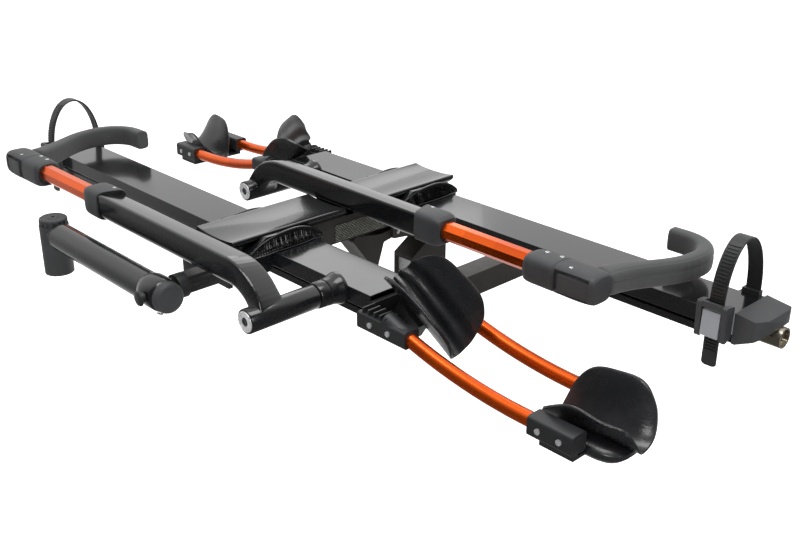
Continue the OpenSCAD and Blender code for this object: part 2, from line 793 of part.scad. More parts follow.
module cradle_clips() {
    inner_w0 = -26;
    color("#232425")
    difference() {
        union() {
            for (s = [-1, 1]) {
                along_x(inner_clip_u, inner_clip_u + clip_len) translate([s * tube_v, inner_w0 - 1])
                    polygon(rounded([[-clip_side, -14], [-clip_side, 13], [clip_side - 1, 13], [clip_side - 1, -14]], 5));
                along_x(outer_clip_u, outer_clip_u + outer_clip_len) translate([s * tube_v, -sweep_drop])
                    polygon(rounded([[-clip_side, -15], [-clip_side, 14], [clip_side - 1, 14], [clip_side - 1, -15]], 5));
            }
            block([tray_cradle_len + 0.1, -tray_side, -tray_depth], [tray_cradle_len + 9, tray_side, -8]);
            block([tray_cradle_len + 0.1, -tube_v, -tray_depth], [tray_cradle_len + 42, tube_v, -34]);
            for (v = [-tube_v, tube_v])
                sweep(tube_r + 3, inner_clip_u + 50, inner_clip_u + clip_len - 3, v);
            translate([inner_clip_u + 62, 0, -27]) rotate([0, inner_cup_tilt, 0])
                block([-40, -12, -cup_wall - 34], [10, 12, -cup_wall]);
            block([outer_clip_u + 14, -tube_v, -sweep_drop - 27], [outer_clip_u + 68, tube_v, -sweep_drop - 22]);
            for (s = [-1, 1])
                block([outer_clip_u + 14, s * tube_v - 5, -sweep_drop - 27],
                      [outer_clip_u + 68, s * tube_v + 5, -sweep_drop - 10]);
        }
        for (v = [-tube_v, tube_v])
            sweep(tube_r + seat, inner_clip_u + 55, outer_clip_u + 49, v);
    }
}

module cradle_screws() {
    color("silver")
    for (s = [-1, 1], u = [inner_clip_u + 28, inner_clip_u + 66, outer_clip_u + 18, outer_clip_u + 52]) {
        w = u < outer_clip_u ? -27 : -sweep_drop - 1;
        v = s * (tube_v + clip_side);
        bar_y(min(v, v + s * 2), max(v, v + s * 2), u, w, 4.2);
    }
}

// A point of a wheel cup, in its own frame: a runs along the valley from -1 to 1,
// t goes across it from the low flank's rim (-1) to the tall flank's (1).
// Its form is [length, tall flank's height, shares of that height left at its two ends, half width].
function cup_point(form, a, t, drop) =
    let (
        rim = 1 - (1 - (a < 0 ? form[2] : form[3])) * pow(abs(a), 4),
        low = cup_low * (0.7 + 0.3 * sqrt(max(0, 1 - 0.8 * pow(abs(a), 3)))),
        reach = form[0] / 2 * (1 + 0.06 * abs(t)),
        height = t > 0 ? form[1] * rim * pow(t, 1.7) : low * pow(-t, 1.5),
        narrow = 1 - cup_twist * (1 - sign(t) * a) / 2,
        side = (t > 0 ? (form[4] - 6) * t + 6 * t * t : form[4] * t) * narrow
    )
    [a * reach, side + drop * t * 0.9, height - drop];

// A wheel cup as a shell between its inner face and the same face let down by its wall.
module cup(form) {
    n = 14;
    m = 12;
    across = 2 * m + 1;
    grid = [for (drop = [0, cup_wall], i = [0 : n], j = [0 : 2 * m])
        cup_point(form, sin(-90 + 180 * i / n), (j - m) / m, drop)];
    size = (n + 1) * across;
    function id(k, i, j) = k * size + i * across + j;
    skins = [for (i = [0 : n - 1], j = [0 : 2 * m - 1]) each [
        [id(0, i, j), id(0, i, j + 1), id(0, i + 1, j + 1)], [id(0, i, j), id(0, i + 1, j + 1), id(0, i + 1, j)],
        [id(1, i, j), id(1, i + 1, j + 1), id(1, i, j + 1)], [id(1, i, j), id(1, i + 1, j), id(1, i + 1, j + 1)]
    ]];
    sides = [for (i = [0 : n - 1]) each [
        [id(0, i, 0), id(0, i + 1, 0), id(1, i + 1, 0)], [id(0, i, 0), id(1, i + 1, 0), id(1, i, 0)],
        [id(0, i, 2 * m), id(1, i + 1, 2 * m), id(0, i + 1, 2 * m)],
        [id(0, i, 2 * m), id(1, i, 2 * m), id(1, i + 1, 2 * m)]
    ]];
    ends = [for (j = [0 : 2 * m - 1]) each [
        [id(0, 0, j), id(1, 0, j + 1), id(0, 0, j + 1)], [id(0, 0, j), id(1, 0, j), id(1, 0, j + 1)],
        [id(0, n, j), id(0, n, j + 1), id(1, n, j + 1)], [id(0, n, j), id(1, n, j + 1), id(1, n, j)]
    ]];
    polyhedron(grid, concat(skins, sides, ends), convexity = 6);
}

module inner_cup() {
    color("#1f2021")
    translate([inner_clip_u + 62, 0, -27]) rotate([0, inner_cup_tilt, 0])
        cup([cup_len, cup_tall, 0.6, 0.88, tube_v - tube_r - cup_wall - 1]);
}

module outer_cup() {
    color("#2a2b2c")
    translate([outer_clip_u + 59, 0, -sweep_drop - 15]) rotate([0, outer_cup_tilt, 0])
        cup([outer_cup_len, outer_cup_tall, 0.45, 0.42, tube_v - tube_r + 3]);
}

// ---- assembly ----

stinger();
neck();
draw_rod();
cam_knob();
cam_ball();
spine_tube();
spine_cover();
label_plate();
pivot_cheeks();
pivot_pins();
foot_pedal();
pedal_spring();
lock_pin();
mast_bracket();
mast_screws();
mast_knuckle();
mast_tube();
mast_head();
clamp_knob();
for (n = [1, 2]) {
    unit(n) tray_panels();
    unit(n) hub_wings();
    unit(n) tray_end_cap();
    unit(n) cable_lock();
    unit(n) strap();
    unit(n) buckle_base();
    unit(n) buckle_lever();
    unit(n) arm_spindle();
    unit(n) arm_end_disc();
    unit(n) arm_tube();
    unit(n) arm_collar();
    unit(n) hook_tube();
    unit(n) hook_housing();
    unit(n) hook_trigger();
    unit(n) hook();
    unit(n) cradle_clips();
    unit(n) cradle_tubes();
    unit(n) inner_cup();
    unit(n) outer_cup();
    unit(n) cradle_screws();
}
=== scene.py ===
"""Looks for a two-bike platform rack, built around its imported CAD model.

Everything is in metres in the rack's frame: +X along the trays, +Y to the vehicle, +Z up.
A tray unit's pieces are drawn once in its tray frame (u along the tray to the cradle, v to the
vehicle, w up from the tray's face) and then put on unit 1 or, mirrored, on unit 2.
"""
import json
import math

import bmesh
import bpy
from mathutils import Matrix, Vector


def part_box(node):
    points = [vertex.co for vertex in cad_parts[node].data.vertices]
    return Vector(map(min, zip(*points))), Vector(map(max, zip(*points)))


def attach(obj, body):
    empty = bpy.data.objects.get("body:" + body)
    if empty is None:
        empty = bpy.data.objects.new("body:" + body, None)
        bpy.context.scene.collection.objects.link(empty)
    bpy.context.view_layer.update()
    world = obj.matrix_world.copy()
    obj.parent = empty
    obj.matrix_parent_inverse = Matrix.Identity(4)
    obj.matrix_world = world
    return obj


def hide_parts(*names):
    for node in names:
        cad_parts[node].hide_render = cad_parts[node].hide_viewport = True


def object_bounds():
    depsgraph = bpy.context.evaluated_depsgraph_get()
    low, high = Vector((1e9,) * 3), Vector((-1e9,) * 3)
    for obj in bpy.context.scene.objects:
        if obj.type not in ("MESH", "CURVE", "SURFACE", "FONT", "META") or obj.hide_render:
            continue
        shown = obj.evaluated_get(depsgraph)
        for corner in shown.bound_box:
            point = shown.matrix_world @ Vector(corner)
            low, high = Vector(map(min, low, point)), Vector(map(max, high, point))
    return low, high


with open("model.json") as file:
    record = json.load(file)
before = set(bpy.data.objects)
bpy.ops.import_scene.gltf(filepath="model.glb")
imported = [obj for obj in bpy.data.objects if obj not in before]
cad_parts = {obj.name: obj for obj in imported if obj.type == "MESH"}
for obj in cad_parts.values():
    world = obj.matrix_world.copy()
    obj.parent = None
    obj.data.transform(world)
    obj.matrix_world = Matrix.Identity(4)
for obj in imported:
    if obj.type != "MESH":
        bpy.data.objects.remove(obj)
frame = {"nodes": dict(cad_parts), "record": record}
cad_low, cad_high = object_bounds()

MM = 0.001
UNITS = (1, 2)


# ---- places ----


def unit_matrix(n):
    """The matrix from tray unit n's frame to the rack's frame."""
    low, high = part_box(f"tray_panels_{n}")
    handed = 1 if n == 1 else -1
    return Matrix.Translation((0, (low.y + high.y) / 2, high.z)) @ Matrix.Diagonal((handed, 1, 1, 1))


UNIT = {n: unit_matrix(n) for n in UNITS}


MM_TO_UNIT = {n: UNIT[n] @ Matrix.Scale(MM, 4) for n in UNITS}


def span(node):
    """The lowest and highest corners of a tray unit's CAD node in the tray frame, in mm."""
    corners = [UNIT[1].inverted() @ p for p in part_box(node + "_1")]
    return Vector(map(min, *corners)) / MM, Vector(map(max, *corners)) / MM


def rack_span(node):
    """The lowest and highest corners of a CAD node in the rack's frame, in mm."""
    return [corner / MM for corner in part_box(node)]


def sleeve(node):
    """The sizes of a sleeve along u: its corners, centre, half width, half height and length, in mm."""
    low, high = span(node)
    return low, high, (low + high) / 2, (high.y - low.y) / 2, (high.z - low.z) / 2, high.x - low.x


# ---- materials ----


def linear(hexcolour):
    """An sRGB hex colour as the linear colour that Blender's sockets take."""
    channels = [int(hexcolour[i:i + 2], 16) / 255 for i in (1, 3, 5)]
    return tuple(c / 12.92 if c <= 0.04045 else ((c + 0.055) / 1.055) ** 2.4 for c in channels) + (1,)


def add(tree, kind, inputs=None, **settings):
    """Adds a shader node. inputs gives a value or another node's socket for each named input."""
    node = tree.nodes.new("ShaderNode" + kind)
    for key, value in settings.items():
        setattr(node, key, value)
    for key, value in (inputs or {}).items():
        if isinstance(value, bpy.types.NodeSocket):
            tree.links.new(value, node.inputs[key])
        else:
            node.inputs[key].default_value = value
    return node


def start(name, inputs):
    """A material with its shader set. Returns the material, its tree, shader and object coordinates."""
    material = bpy.data.materials.new(name)
    material.use_nodes = True
    tree = material.node_tree
    shader = tree.nodes["Principled BSDF"]
    for key, value in inputs.items():
        shader.inputs[key].default_value = value
    return material, tree, shader, add(tree, "TexCoord").outputs["Object"]


BASE_TINT = 0.15


def mottle(tree, shader, where, colours, grain, roughness, patch):
    """Colour and roughness that wander over the surface: fine grain over broad patches, in mm."""
    fine = add(tree, "TexNoise", {"Vector": where, "Scale": 1 / (grain * MM), "Detail": 3})
    broad = add(tree, "TexNoise", {"Vector": where, "Scale": 1 / (patch * MM), "Detail": 4})
    blend = add(tree, "Math", {0: fine.outputs["Fac"], 1: broad.outputs["Fac"], 2: BASE_TINT},
                operation="MULTIPLY_ADD")
    tint = add(tree, "Mix", {0: blend.outputs[0], 6: linear(colours[0]), 7: linear(colours[1])},
               data_type="RGBA")
    tree.links.new(tint.outputs[2], shader.inputs["Base Color"])
    gloss = add(tree, "MapRange", {"Value": broad.outputs["Fac"], "From Min": 0.3, "From Max": 0.7,
                                   "To Min": roughness[0], "To Max": roughness[1]})
    tree.links.new(gloss.outputs[0], shader.inputs["Roughness"])


def relief(tree, shader, height, depth):
    """Raises the surface by a pattern whose full height is depth mm."""
    bump = add(tree, "Bump", {"Height": height, "Distance": depth * MM, "Strength": 1.0})
    tree.links.new(bump.outputs[0], shader.inputs["Normal"])


def gloss_paint():
    """Wet-look powder coat on aluminium: black with a fine pearl, under a clear, slightly peeled coat."""
    material, tree, shader, where = start("gloss_powder_coat", {
        "IOR": 1.52, "Coat Weight": 0.35, "Coat Roughness": 0.06, "Coat IOR": 1.5})
    mottle(tree, shader, where, ("#0e0f10", "#1c1d1f"), 1.2, (0.14, 0.22), 140)
    peel = add(tree, "TexNoise", {"Vector": where, "Scale": 1 / (5 * MM), "Detail": 1})
    relief(tree, shader, peel.outputs["Fac"], 0.05)
    return material


def satin_paint():
    """Satin powder coat on steel: a warm near-black with a fine baked texture."""
    material, tree, shader, where = start("satin_powder_coat", {"Metallic": 0.1, "IOR": 1.5})
    mottle(tree, shader, where, ("#201e1b", "#3a3732"), 2.0, (0.38, 0.55), 60)
    grit = add(tree, "TexNoise", {"Vector": where, "Scale": 1 / (1.6 * MM), "Detail": 2})
    relief(tree, shader, grit.outputs["Fac"], 0.12)
    return material


DRAW_LINES = (4, 900, 900)
BANDS_PER_METRE = 16


def anodised_orange():
    """Extruded aluminium, bright dipped and dyed orange: clear metallic colour in soft bands along the
    tube, with faint draw lines."""
    material, tree, shader, where = start("orange_anodised_aluminium", {
        "Metallic": 0.9, "Coat Weight": 0.25, "Coat Roughness": 0.1, "Roughness": 0.26})
    along = add(tree, "Mapping", {"Vector": where, "Scale": DRAW_LINES})
    lines = add(tree, "TexNoise", {"Vector": along.outputs[0], "Scale": 1.0, "Detail": 2})
    bands = add(tree, "Mapping", {"Vector": where, "Scale": (BANDS_PER_METRE, 1, 1)})
    length = add(tree, "SeparateXYZ", {"Vector": bands.outputs[0]})
    step = add(tree, "Math", {0: length.outputs["X"]}, operation="FLOOR")
    cells = add(tree, "TexWhiteNoise", {"W": step.outputs[0]}, noise_dimensions="1D")
    share = add(tree, "Math", {0: cells.outputs["Value"], 1: lines.outputs["Fac"]}, operation="MULTIPLY")
    tint = add(tree, "Mix", {0: share.outputs[0], 6: linear("#f8640e"), 7: linear("#b43a04")},
               data_type="RGBA")
    tree.links.new(tint.outputs[2], shader.inputs["Base Color"])
    relief(tree, shader, lines.outputs["Fac"], 0.02)
    return material


def glass_filled_nylon():
    """Injection-moulded glass-filled nylon: near-black with a spark-eroded grain and a satin sheen."""
    material, tree, shader, where = start("glass_filled_nylon", {"IOR": 1.53})
    mottle(tree, shader, where, ("#161718", "#2d2e30"), 1.5, (0.36, 0.5), 30)
    grain = add(tree, "TexNoise", {"Vector": where, "Scale": 1 / (1.1 * MM), "Detail": 3})
    relief(tree, shader, grain.outputs["Fac"], 0.12)
    return material


def soft_touch_nylon():
    """Moulded nylon with a matte soft-touch grain: dark grey and even."""
    material, tree, shader, where = start("soft_touch_nylon", {"IOR": 1.5})
    mottle(tree, shader, where, ("#303132", "#434446"), 1.4, (0.46, 0.6), 40)
    grain = add(tree, "TexNoise", {"Vector": where, "Scale": 1 / (1.0 * MM), "Detail": 3})
    relief(tree, shader, grain.outputs["Fac"], 0.14)
    return material


def moulded_rubber():
    """Thermoplastic rubber over a hard core: matte mid grey with a soft bloom and scuffs."""
    material, tree, shader, where = start("moulded_rubber", {"IOR": 1.5, "Specular IOR Level": 0.4,
                                                              "Sheen Weight": 0.15, "Sheen Roughness": 0.5})
    mottle(tree, shader, where, ("#3b3c3c", "#505151"), 2.2, (0.56, 0.74), 35)
    grain = add(tree, "TexNoise", {"Vector": where, "Scale": 1 / (1.2 * MM), "Detail": 4})
    relief(tree, shader, grain.outputs["Fac"], 0.16)
    return material


def cup_nylon():
    """Tough moulded nylon of the wheel cups: black, half gloss, clouded where the melt flowed."""
    material, tree, shader, where = start("cup_nylon", {"IOR": 1.53, "Specular IOR Level": 0.6})
    mottle(tree, shader, where, ("#131415", "#26272a"), 2.5, (0.2, 0.36), 28)
    skin = add(tree, "TexNoise", {"Vector": where, "Scale": 1 / (4 * MM), "Detail": 4})
    relief(tree, shader, skin.outputs["Fac"], 0.18)
    return material


def strap_urethane():
    """Flexible moulded urethane of the wheel straps: charcoal with a waxy face."""
    material, tree, shader, where = start("strap_urethane", {"IOR": 1.5})
    mottle(tree, shader, where, ("#1e1f1f", "#343535"), 1.5, (0.36, 0.52), 18)
    return material


def pale_acetal():
    """Moulded acetal lever: cool light grey, smooth."""
    material, tree, shader, where = start("pale_grey_acetal", {"IOR": 1.48})
    mottle(tree, shader, where, ("#7f8286", "#9a9da1"), 1.5, (0.3, 0.42), 15)
    return material


def nickel_plate():
    """Nickel plate on die-cast zinc: warm silver with handling marks."""
    material, tree, shader, where = start("nickel_plate", {"Metallic": 1.0})
    mottle(tree, shader, where, ("#a39a88", "#c9c2b2"), 3.0, (0.2, 0.36), 9)
    return material


def zinc_steel():
    """Zinc-plated steel: pale cool silver, a little cloudy."""
    material, tree, shader, where = start("zinc_plated_steel", {"Metallic": 0.7})
    mottle(tree, shader, where, ("#c4c5c7", "#ececee"), 2.0, (0.24, 0.4), 12)
    return material


LATHE_FEED = 0.9


def turned_aluminium(centre):
    """A faced aluminium disc: bright, with the lathe's rings about its axis along y. The feed is drawn
    coarse enough to show."""
    material, tree, shader, where = start("turned_aluminium", {"Metallic": 0.55})
    mottle(tree, shader, where, ("#d8d8da", "#f4f4f6"), 1.5, (0.25, 0.36), 10)
    flat = add(tree, "Mapping", {"Vector": where, "Location": (-centre.x, 0, -centre.z),
                                 "Scale": (1, 0, 1)})
    radius = add(tree, "VectorMath", {0: flat.outputs[0]}, operation="LENGTH")
    rings = add(tree, "Math", {0: radius.outputs["Value"], 1: 2 * math.pi / (LATHE_FEED * MM)},
                operation="MULTIPLY")
    wave = add(tree, "Math", {0: rings.outputs[0]}, operation="SINE")
    relief(tree, shader, wave.outputs[0], 0.03)
    return material


def embossed_plate():
    """The rating plate: a dark plastic film with rows of raised dashes in place of any words."""
    material, tree, shader, where = start("embossed_plate", {"IOR": 1.5, "Roughness": 0.45})
    turned = add(tree, "Mapping", {"Vector": where, "Rotation": (0, math.radians(90), math.radians(90))})
    dashes = add(tree, "TexBrick", {"Vector": turned.outputs[0], "Scale": 1.0, "Mortar Size": 0.0012,
                                    "Brick Width": 6 * MM, "Row Height": 3.2 * MM, "Mortar Smooth": 0.3,
                                    "Color1": linear("#8a8a80"), "Color2": linear("#5d5d55"),
                                    "Mortar": linear("#26261f")})
    tree.links.new(dashes.outputs["Color"], shader.inputs["Base Color"])
    relief(tree, shader, dashes.outputs["Fac"], -0.3)
    return material


def floor_paper():
    """Seamless white background paper, matte."""
    material, tree, shader, where = start("background_paper", {
        "Roughness": 0.9, "Specular IOR Level": 0.1, "Emission Color": linear("#ffffff"),
        "Emission Strength": 0.75})
    mottle(tree, shader, where, ("#f4f4f4", "#fafafa"), 4.0, (0.85, 0.95), 400)
    return material


disc_low, disc_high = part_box("arm_end_disc_1")
FINISH = {
    "gloss_coat": gloss_paint(), "spine_coat": satin_paint(), "anodised": anodised_orange(),
    "moulded": glass_filled_nylon(), "cap": soft_touch_nylon(), "rubbery": moulded_rubber(),
    "cup": cup_nylon(), "strap": strap_urethane(), "lever": pale_acetal(), "lock": nickel_plate(),
    "steel": zinc_steel(), "disc": turned_aluminium((disc_low + disc_high) / 2), "plate": embossed_plate(),
}
FINISH.update(stinger_coat=FINISH["spine_coat"], neck_coat=FINISH["spine_coat"], knob=FINISH["moulded"],
              pedal=FINISH["spine_coat"], mast_coat=FINISH["gloss_coat"], screw=FINISH["steel"])
SLOT = {row["node"]: row["material_slot"] for row in frame["record"]["subparts"]}
BODY = {node: body for body, nodes in frame["record"]["behaviour"]["bodies"].items() for node in nodes}


# ---- making pieces ----


def new_piece(name, bm, node, slot=None, stands_for=(), sharp=32):
    """Makes an object of a bmesh. It rides with CAD node's body and takes that node's finish."""
    mesh = bpy.data.meshes.new(name)
    bm.to_mesh(mesh)
    bm.free()
    mesh.shade_smooth()
    mesh.set_sharp_from_angle(angle=math.radians(sharp))
    piece = bpy.data.objects.new(name, mesh)
    bpy.context.scene.collection.objects.link(piece)
    mesh.materials.append(FINISH[slot or SLOT[node]])
    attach(piece, BODY[node])
    if stands_for:
        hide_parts(*stands_for)
    return piece


def closed(bm):
    """Joins a mesh's seams and turns its faces outwards."""
    bmesh.ops.remove_doubles(bm, verts=bm.verts, dist=1e-3)
    bmesh.ops.recalc_face_normals(bm, faces=bm.faces)
    return bm


def unit_piece(name, n, bm, node, replace=True, **settings):
    """Puts a piece drawn in the tray frame, in mm, on tray unit n. It stands for the CAD node if replace
    is set, and is an extra on it if not."""
    bmesh.ops.transform(bm, matrix=MM_TO_UNIT[n], verts=bm.verts)
    if n == 2:
        bmesh.ops.reverse_faces(bm, faces=bm.faces)
    node = f"{node}_{n}"
    return new_piece(f"{name}_{n}", bm, node, stands_for=(node,) if replace else (), **settings)


def rack_piece(name, bm, node, replace=True, **settings):
    """Does the same with a piece drawn in the rack's frame, in mm."""
    bmesh.ops.transform(bm, matrix=Matrix.Scale(MM, 4), verts=bm.verts)
    return new_piece(name, bm, node, stands_for=(node,) if replace else (), **settings)


def round_edges(piece, width, angle=32):
    """Rounds to width mm each edge of a piece that turns by more than angle degrees."""
    bevel = piece.modifiers.new("rounded_edges", "BEVEL")
    bevel.width = width * MM
    bevel.segments = 2
    bevel.limit_method = "ANGLE"
    bevel.angle_limit = math.radians(angle)
    bevel.harden_normals = True
    return piece


def smooth(piece, levels):
    """Finishes a piece as a subdivision surface."""
    surface = piece.modifiers.new("smooth_surface", "SUBSURF")
    surface.levels = surface.render_levels = levels
    return piece


FLAT_WITHIN = math.radians(0.4)


def soften(node, width):
    """Shows a CAD node as a copy with its sharp edges rounded, as a mould or a die leaves them."""
    bm = bmesh.new()
    bm.from_mesh(frame["nodes"][node].data)
    bmesh.ops.remove_doubles(bm, verts=bm.verts, dist=0.005 * MM)
    bmesh.ops.dissolve_limit(bm, angle_limit=FLAT_WITHIN, verts=bm.verts, edges=bm.edges)
    return round_edges(new_piece(node + "_skin", bm, node, stands_for=(node,)), width)


def station(point, side, up):
    """A place on a line, with x to the side, y up and z along the line."""
    side, up = Vector(side), Vector(up)
    return Matrix.Translation(point) @ Matrix((side, up, side.cross(up))).transposed().to_4x4()


def stations_along(points, up):
    """A station at each point of a flat line whose plane's normal is up."""
    places = []
    for i, point in enumerate(points):
        run = (points[min(i + 1, len(points) - 1)] - points[max(i - 1, 0)]).normalized()
        places.append(station(point, up.cross(run), up))
    return places


def facing(point, direction):
    """A place at point whose z axis points along direction."""
    turn = Vector((0, 0, 1)).rotation_difference(Vector(direction))
    return Matrix.Translation(point) @ turn.to_matrix().to_4x4()


def ring(outline, place, wide=1, tall=1):
    """An outline's points at a station."""
    return [place @ Vector((a * wide, b * tall, 0)) for a, b in outline]


def squircle(half_wide, half_tall, power=4, count=36):
    """A rectangle's outline with full, soft corners. The higher the power, the squarer."""
    points = []
    for i in range(count):
        turn = 2 * math.pi * i / count
        c, s = math.cos(turn), math.sin(turn)
        points.append((half_wide * math.copysign(abs(c) ** (2 / power), c),
                       half_tall * math.copysign(abs(s) ** (2 / power), s)))
    return points


def filleted(corners, radius, steps=4):
    """A polygon's points with its corners rounded."""
    points = []
    for i, corner in enumerate(corners):
        corner = Vector(corner)
        ways = [Vector(corners[i - 1]) - corner, Vector(corners[(i + 1) % len(corners)]) - corner]
        reach = min(radius, 0.48 * ways[0].length, 0.48 * ways[1].length)
        first, last = (corner + way.normalized() * reach for way in ways)
        for j in range(steps + 1):
            s = j / steps
            points.append(tuple((1 - s) ** 2 * first + 2 * s * (1 - s) * corner + s * s * last))
    return points


def loft(bm, rings):
    """Extrudes a face through rings of points that all have the same count."""
    corners = [bm.verts.new(p) for p in rings[0]]
    face = bm.faces.new(corners)
    for points in rings[1:]:
        order = {tuple(v.co): i for i, v in enumerate(corners)}
        made = bmesh.ops.extrude_face_region(bm, geom=[face])["geom"]
        face = next(g for g in made if isinstance(g, bmesh.types.BMFace))
        corners = sorted(face.verts, key=lambda v: order[tuple(v.co)])
        for corner, point in zip(corners, points):
            corner.co = point
    return bm


def lathe(bm, profile, place, steps):
    """Turns a profile of (distance along the axis, radius) about the z axis of place."""
    corners = [bm.verts.new(place @ Vector((radius, 0, along))) for along, radius in profile]
    edges = [bm.edges.new(pair) for pair in zip(corners, corners[1:])]
    bmesh.ops.spin(bm, geom=corners + edges, cent=place.translation, axis=place.col[2].xyz, dvec=(0, 0, 0),
                   angle=2 * math.pi, steps=steps, use_merge=True)
    return bm


def slab(bm, low, high):
    """A block between two corners."""
    low, high = Vector(low), Vector(high)
    block(bm, Matrix.Translation((low + high) / 2), high - low)
    return bm


def block(bm, place, sizes):
    """A block of the given sizes, centred on a place and turned with it."""
    bmesh.ops.create_cube(bm, size=1, matrix=place @ Matrix.Diagonal((*sizes, 1)))


def crown(centre, radius, tooth, count):
    """A ring of small teeth about the u axis, radius mm out from centre."""
    bm = bmesh.new()
    for i in range(count):
        turn = Matrix.Translation(centre) @ Matrix.Rotation(math.tau * i / count, 4, "X")
        block(bm, turn @ Matrix.Translation((0, 0, radius)), tooth)
    return bm


X, Y, Z = Vector((1, 0, 0)), Vector((0, 1, 0)), Vector((0, 0, 1))
BUTTON_HEAD = ((0, 0), (0, 1.0), (0.3, 1.0), (0.42, 0.86), (0.5, 0.6), (0.5, 0.42), (0.2, 0.36), (0.2, 0))


def button_heads(bm, places, radius):
    """A domed, socketed screw head at each place."""
    for place in places:
        lathe(bm, [(along * radius, share * radius) for along, share in BUTTON_HEAD], place, 20)
    return closed(bm)


# ---- the arm and its pivot ----

ARM_WIDE, ARM_TALL = 44, 46
ARM_BEND = 79
ARM_AXIS = 42
BEND_STEPS = 14
SPINDLE_PROFILE = (
    (0, 0), (0, 25), (2.5, 25.6), (7, 24.8), (13, 22.6), (20, 21.6), (27, 21.2), (28.4, 19.6), (31, 19.6),
    (32.4, 21), (44, 20.6), (46.4, 19.8), (47.4, 18), (47.4, 14), (156, 14), (156, 0),
)


def arm(n):
    """The arm's tube, straight over the tray and bent down to the barrel that it is welded to, and the
    spindle that the barrel turns on, with its flared boss."""
    low, high = span("arm_tube")
    disc_low, disc_high = span("arm_end_disc")
    pivot_u, pivot_w = (disc_low.x + disc_high.x) / 2, (disc_low.z + disc_high.z) / 2
    v, w = low.y + ARM_AXIS, high.z - ARM_TALL / 2
    bend_u, bend_w = pivot_u - ARM_BEND * math.cos(math.radians(22)), w - ARM_BEND
    a, b = ARM_WIDE / 2, ARM_TALL / 2
    outline = filleted([(-a, b), (a, b - 8), (a, -b + 4), (a - 8, -b), (-a + 8, -b), (-a, -b + 8)], 6)
    rings = [ring(outline, station((u, v, w), Y, Z)) for u in (low.x, bend_u - 100, bend_u - 40, bend_u)]
    for i in range(1, BEND_STEPS + 1):
        turn = math.radians(90 - 5 * i)
        out = Vector((math.cos(turn), 0, math.sin(turn)))
        at = Vector((bend_u, v, bend_w)) + ARM_BEND * out
        flare = 1 + 0.28 * max(0, (i - 9) / 5) ** 2
        rings.append(ring(outline, station(at, Y, out), flare, 1 - 0.014 * i))
    bm = loft(bmesh.new(), rings)
    length = high.y - low.y
    lathe(bm, [(0, 14.2), (0, 17.6), (0.5, 18.5), (1.6, 19), (length - 1.6, 19), (length - 0.5, 18.5),
               (length, 17.6), (length, 14.2), (0, 14.2)], facing((pivot_u, low.y, pivot_w), Y), 64)
    unit_piece("arm_tube_weldment", n, closed(bm), "arm_tube", sharp=28)
    low, high = span("arm_spindle")
    bm = lathe(bmesh.new(), SPINDLE_PROFILE, facing((pivot_u, high.y, pivot_w), -Y), 56)
    unit_piece("arm_spindle_boss", n, closed(bm), "arm_spindle", sharp=30)


COLLAR_SLANT = 7


def collar(n):
    """The end sleeve of the arm: a full round lip, a slanted edge where it laps over the arm, and a toothed
    wiper round the hook's tube."""
    low, high, centre, wide, tall, length = sleeve("arm_collar")
    stops = ((0, 0.70), (0.4, 0.78), (2.5, 0.86), (7, 0.94), (14, 0.985), (22, 1), (length - 1.5, 1),
             (length - 0.3, 0.98), (length, 0.95), (length, 0.8))
    outline = squircle(wide, tall, 5)
    rings = []
    for step, size in stops:
        points = ring(outline, station((low.x + step, centre.y, centre.z), Y, Z), size, size)
        if step > length - 5:
            points = [p + X * COLLAR_SLANT * (p.y - centre.y) / wide for p in points]
        rings.append(points)
    unit_piece("arm_collar_shell", n, closed(loft(bmesh.new(), rings)), "arm_collar", sharp=50)
    stud = facing((high.x - 12, centre.y + wide * 0.55, high.z - 1.4), (0, 0.2, 1))
    unit_piece("arm_collar_stud", n, button_heads(bmesh.new(), [stud], 3.2), "arm_collar", replace=False,
               slot="screw")
    teeth = crown((low.x - 0.2, centre.y, centre.z - 0.5), 17, (2, 2.2, 2.6), 28)
    unit_piece("arm_collar_wiper", n, teeth, "arm_collar", replace=False, slot="moulded")


# ---- the sliding hook ----

HOOK_CURL = 59
HOOK_CURL_V = 13
HOOK_THICK = 27
ROOT_STEPS, CURL_STEPS = 14, 13
HOOK_OUTLINE = [
    (-10, -19), (9, -19), (13, -15.5), (13.5, -6), (13.5, 2.2), (11.9, 3.4), (13.4, 4.8), (13, 11.5),
    (9.8, 16.6), (7.6, 16.0), (6.4, 18.6), (-8.5, 19), (-13.2, 15), (-13.5, 0), (-13, -15.5),
]


def hook_line():
    """The middle of the hook: an easy curve out of its housing, a round curl and a short tip."""
    low, high = span("hook")
    curl = Vector((low.x + HOOK_THICK / 2 + HOOK_CURL, HOOK_CURL_V, (low.z + high.z) / 2))
    root = Vector((curl.x + 1, low.y, curl.z))
    end = curl - HOOK_CURL * X
    pull = 0.42 * (end.y - root.y) * Y
    points = []
    for i in range(ROOT_STEPS):
        t = i / ROOT_STEPS
        points.append((1 - t) ** 3 * root + 3 * (1 - t) ** 2 * t * (root + pull - 14 * X)
                      + 3 * (1 - t) * t ** 2 * (end - pull) + t ** 3 * end)
    for i in range(CURL_STEPS):
        turn = math.radians(180 - 7.5 * i)
        points.append(curl + HOOK_CURL * Vector((math.cos(turn), math.sin(turn), 0)))
    return points + [points[-1] + step * X for step in (9, 18, 24.5)]


def hook(n):
    """The padded hook: broad where it leaves its housing, grooved along one face, with a blunt tip."""
    places = stations_along(hook_line(), Z)
    rings = [ring(HOOK_OUTLINE, place, 1 + 0.62 * max(0, 1 - i / 9) ** 2) for i, place in enumerate(places)]
    for step, size in ((1.4, 0.94), (2.2, 0.8), (2.3, 0.5)):
        rings.append(ring(HOOK_OUTLINE, places[-1] @ Matrix.Translation((0, 0, step)), size, size))
    smooth(unit_piece("hook_pad", n, closed(loft(bmesh.new(), rings)), "hook"), 2)


